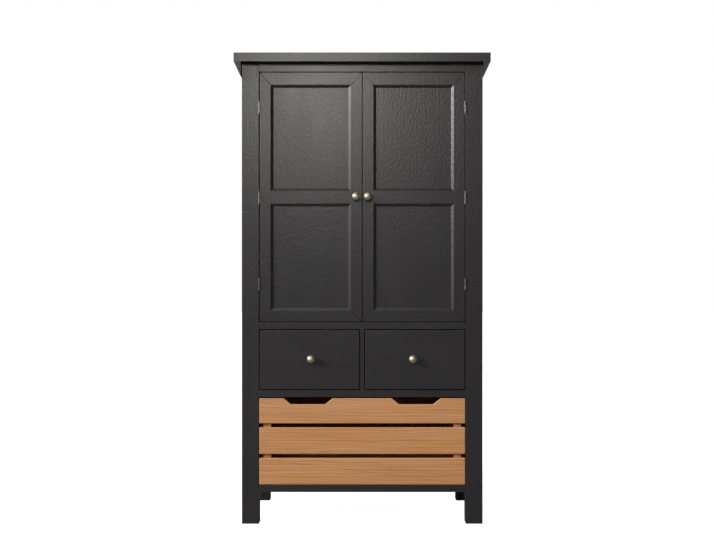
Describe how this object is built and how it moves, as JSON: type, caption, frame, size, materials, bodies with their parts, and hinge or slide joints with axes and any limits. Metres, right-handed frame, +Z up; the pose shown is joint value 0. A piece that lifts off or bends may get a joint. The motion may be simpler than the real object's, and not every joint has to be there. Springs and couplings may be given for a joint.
{
  "type": "larder cupboard",
  "caption": "Tall painted larder cupboard with mitred panelled doors, inset drawers with round knobs, and a slatted pull-out crate with hand cut-outs, on square corner legs.",
  "frame": {"origin": "on the floor, in the middle of the whole cabinet's box", "axes": "+Z up, -Y out of the front, +X to the right seen from the front"},
  "size_m": [1.032, 0.6, 1.9],
  "materials": {
    "black_paint": "charcoal eggshell paint on wood",
    "crate_pine": "oiled pine, planed",
    "bare_pine": "bare pine, planed",
    "satin_brass": "satin",
    "steel": "satin"
  },
  "bodies": {
    "cabinet": {"leg_front_left": "black_paint", "leg_front_right": "black_paint", "leg_back_left": "black_paint", "leg_back_right": "black_paint", "top_board": "black_paint", "side_cornices": "black_paint", "top_rail": "black_paint", "door_rail": "black_paint", "drawer_rail": "black_paint", "bottom_rail": "black_paint", "drawer_divider": "black_paint", "side_panel_left": "black_paint", "side_panel_right": "black_paint", "side_rails": "black_paint", "back_panel": "black_paint", "back_rails": "black_paint", "cupboard_floor": "black_paint", "floor_cleats": "black_paint", "drawer_partition": "black_paint", "drawer_runners": "bare_pine", "bottom_board": "black_paint", "crate_guides": "bare_pine", "shelf_lower": "black_paint", "shelf_upper": "black_paint", "shelf_pins": "steel", "hinge_frame_leaves": "steel", "hinge_pins": "steel", "door_catches": "steel"},
    "door_left": {"door_left_hinge_stile": "black_paint", "door_left_meeting_stile": "black_paint", "door_left_top_rail": "black_paint", "door_left_mid_rail": "black_paint", "door_left_bottom_rail": "black_paint", "door_left_panels": "black_paint", "door_left_mouldings": "black_paint", "door_left_hinge_leaves": "steel", "door_left_knob": "satin_brass"},
    "door_right": {"door_right_hinge_stile": "black_paint", "door_right_meeting_stile": "black_paint", "door_right_top_rail": "black_paint", "door_right_mid_rail": "black_paint", "door_right_bottom_rail": "black_paint", "door_right_panels": "black_paint", "door_right_mouldings": "black_paint", "door_right_hinge_leaves": "steel", "door_right_knob": "satin_brass"},
    "drawer_left": {"drawer_left_front": "black_paint", "drawer_left_box": "bare_pine", "drawer_left_bottom": "bare_pine", "drawer_left_knob": "satin_brass"},
    "drawer_right": {"drawer_right_front": "black_paint", "drawer_right_box": "bare_pine", "drawer_right_bottom": "bare_pine", "drawer_right_knob": "satin_brass"},
    "crate": {"crate_top_slat": "crate_pine", "crate_front_slats": "crate_pine", "crate_frame": "crate_pine", "crate_side_slats": "crate_pine", "crate_back_slats": "crate_pine", "crate_floor_slats": "crate_pine"}
  },
  "joints": [
    {"name": "door_left_hinge", "type": "hinge", "parent": "cabinet", "child": "door_left", "pos_m": [-0.417, -0.263, 1.32325], "axis": [0, 0, -1], "range_deg": [0, 150]},
    {"name": "door_right_hinge", "type": "hinge", "parent": "cabinet", "child": "door_right", "pos_m": [0.417, -0.263, 1.32325], "axis": [0, 0, 1], "range_deg": [0, 150]},
    {"name": "drawer_left_slide", "type": "slide", "parent": "cabinet", "child": "drawer_left", "axis": [0, -1, 0], "range_m": [0, 0.36]},
    {"name": "drawer_right_slide", "type": "slide", "parent": "cabinet", "child": "drawer_right", "axis": [0, -1, 0], "range_m": [0, 0.36]},
    {"name": "crate_slide", "type": "slide", "parent": "cabinet", "child": "crate", "axis": [0, -1, 0], "range_m": [0, 0.42]}
  ]
}
